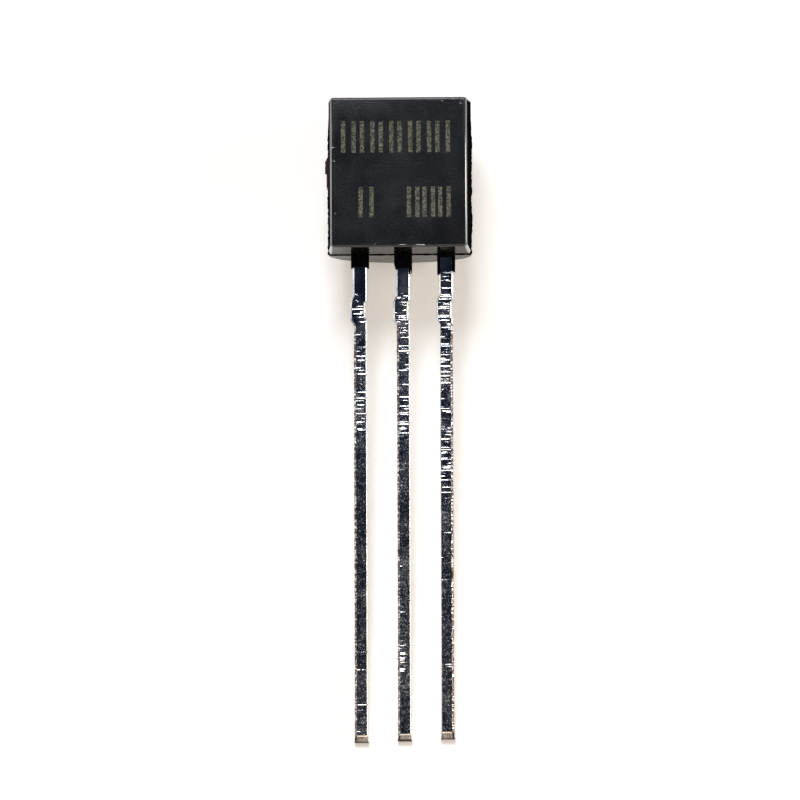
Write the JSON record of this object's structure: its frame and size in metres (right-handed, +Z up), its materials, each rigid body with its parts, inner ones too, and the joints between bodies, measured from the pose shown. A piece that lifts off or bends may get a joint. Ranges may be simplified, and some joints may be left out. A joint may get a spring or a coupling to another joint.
{
  "type": "to-92 transistor",
  "caption": "Small-signal transistor in a black TO-92 package with a flat front, round back and three tinned leads, lying on its back.",
  "frame": {"origin": "middle of the bounding box in X and Y, on the surface that the transistor lies on", "axes": "+Z up, out of the flat front to 8.3 degrees; +Y along the package from the lead tips to the top of the body; +X to the right seen from above"},
  "size_m": [0.0044, 0.0192, 0.0042],
  "materials": {
    "epoxy_moulding": "fine satin moulded black epoxy",
    "tinned_lead_frame": "bright tin plating with fine rolling and stamping marks",
    "silicon": "polished grey silicon",
    "solder": "dull grey soft solder",
    "bond_wire": "bright drawn gold-coloured wire"
  },
  "bodies": {
    "root": {"moulded_case": "epoxy_moulding", "emitter_lead": "tinned_lead_frame", "base_lead": "tinned_lead_frame", "collector_lead": "tinned_lead_frame", "silicon_die": "silicon", "die_attach": "solder", "emitter_bond_wire": "bond_wire", "base_bond_wire": "bond_wire"}
  },
  "joints": []
}
